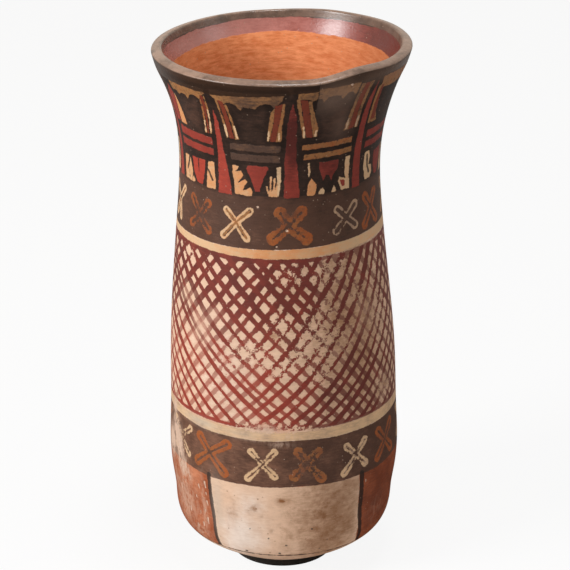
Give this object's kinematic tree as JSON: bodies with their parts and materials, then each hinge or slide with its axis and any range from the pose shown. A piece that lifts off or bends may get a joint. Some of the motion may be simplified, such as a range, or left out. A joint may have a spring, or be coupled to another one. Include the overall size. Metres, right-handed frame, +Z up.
{
  "type": "tall earthenware beaker",
  "caption": "Tall painted earthenware beaker with a flared mouth and a rounded base, standing in a low dished support ring.",
  "frame": {"origin": "on the table, under the middle of the support ring, which is the bottom centre of the whole part", "axes": "+Z up along the height of the beaker, -Y towards the viewer of the picture, +X to the right"},
  "size_m": [0.105, 0.105, 0.229],
  "materials": {
    "base_clay": "bare buff clay, smoothed, dull",
    "panel_slip": "burnished cream and terracotta slips, satin, worn",
    "cross_slip": "burnished dark brown slip with painted crosses, satin",
    "net_slip": "burnished cream slip with a painted maroon net, satin",
    "net_slip_upper": "burnished cream slip with a denser maroon net, satin",
    "cross_slip_upper": "burnished dark brown slip with painted crosses, satin",
    "feather_slip": "burnished polychrome slips, satin",
    "collar_slip": "burnished polychrome slips outside, wiped orange clay inside",
    "rim_slip": "burnished grey-brown slip, satin sheen",
    "ring_rubber": "matt black-brown moulded ring"
  },
  "bodies": {
    "ring_stand": {"support_ring": "ring_rubber"},
    "vase": {"base_bowl": "base_clay", "panel_wall": "panel_slip", "lower_cross_wall": "cross_slip", "lower_net_wall": "net_slip", "upper_net_wall": "net_slip_upper", "upper_cross_wall": "cross_slip_upper", "neck_wall": "feather_slip", "flared_collar": "collar_slip", "rim_lip": "rim_slip"}
  },
  "joints": [
    {"name": "vase_lift", "type": "slide", "parent": "ring_stand", "child": "vase", "axis": [0, 0, 1], "range_m": [0, 0.06]}
  ]
}
